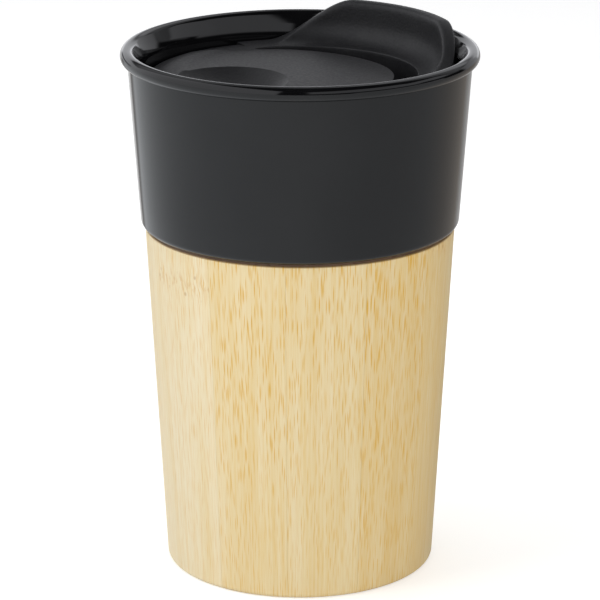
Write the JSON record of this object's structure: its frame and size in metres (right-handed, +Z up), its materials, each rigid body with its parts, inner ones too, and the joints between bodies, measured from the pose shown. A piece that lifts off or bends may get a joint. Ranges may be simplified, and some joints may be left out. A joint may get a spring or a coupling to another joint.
{
  "type": "porcelain mug with lid",
  "caption": "Handleless porcelain travel mug with a glazed band, a staved bamboo sleeve and a push-in lid that has an arc-shaped sip spout.",
  "frame": {"origin": "centre of the mug's axis at the height of the table that it stands on", "axes": "+Z up along the mug's axis; +X from the axis towards the lid's sip spout at rest"},
  "size_m": [0.09, 0.09, 0.1389],
  "materials": {
    "black_glaze": "gloss",
    "bamboo": "sanded and oiled",
    "adhesive": "cured, satin",
    "seal_rubber": "satin silicone",
    "lid_plastic": "fine matte grain"
  },
  "bodies": {
    "mug": {"porcelain_cup": "black_glaze", "bamboo_stave_1": "bamboo", "bamboo_stave_2": "bamboo", "bamboo_stave_3": "bamboo", "bamboo_stave_4": "bamboo", "bamboo_stave_5": "bamboo", "bamboo_stave_6": "bamboo", "bamboo_stave_7": "bamboo", "bamboo_stave_8": "bamboo", "bamboo_stave_9": "bamboo", "bamboo_stave_10": "bamboo", "bamboo_stave_11": "bamboo", "bamboo_stave_12": "bamboo", "upper_adhesive": "adhesive", "lower_adhesive": "adhesive"},
    "seal": {"lid_seal": "seal_rubber"},
    "lid": {"lid_body": "lid_plastic"}
  },
  "joints": [
    {"name": "lid_lift", "type": "slide", "parent": "mug", "child": "seal", "axis": [0, 0, 1], "range_m": [0, 0.06]},
    {"name": "lid_turn", "type": "hinge", "parent": "seal", "child": "lid", "pos_m": [0, 0, 0.12], "axis": [0, 0, 1], "continuous": true}
  ]
}
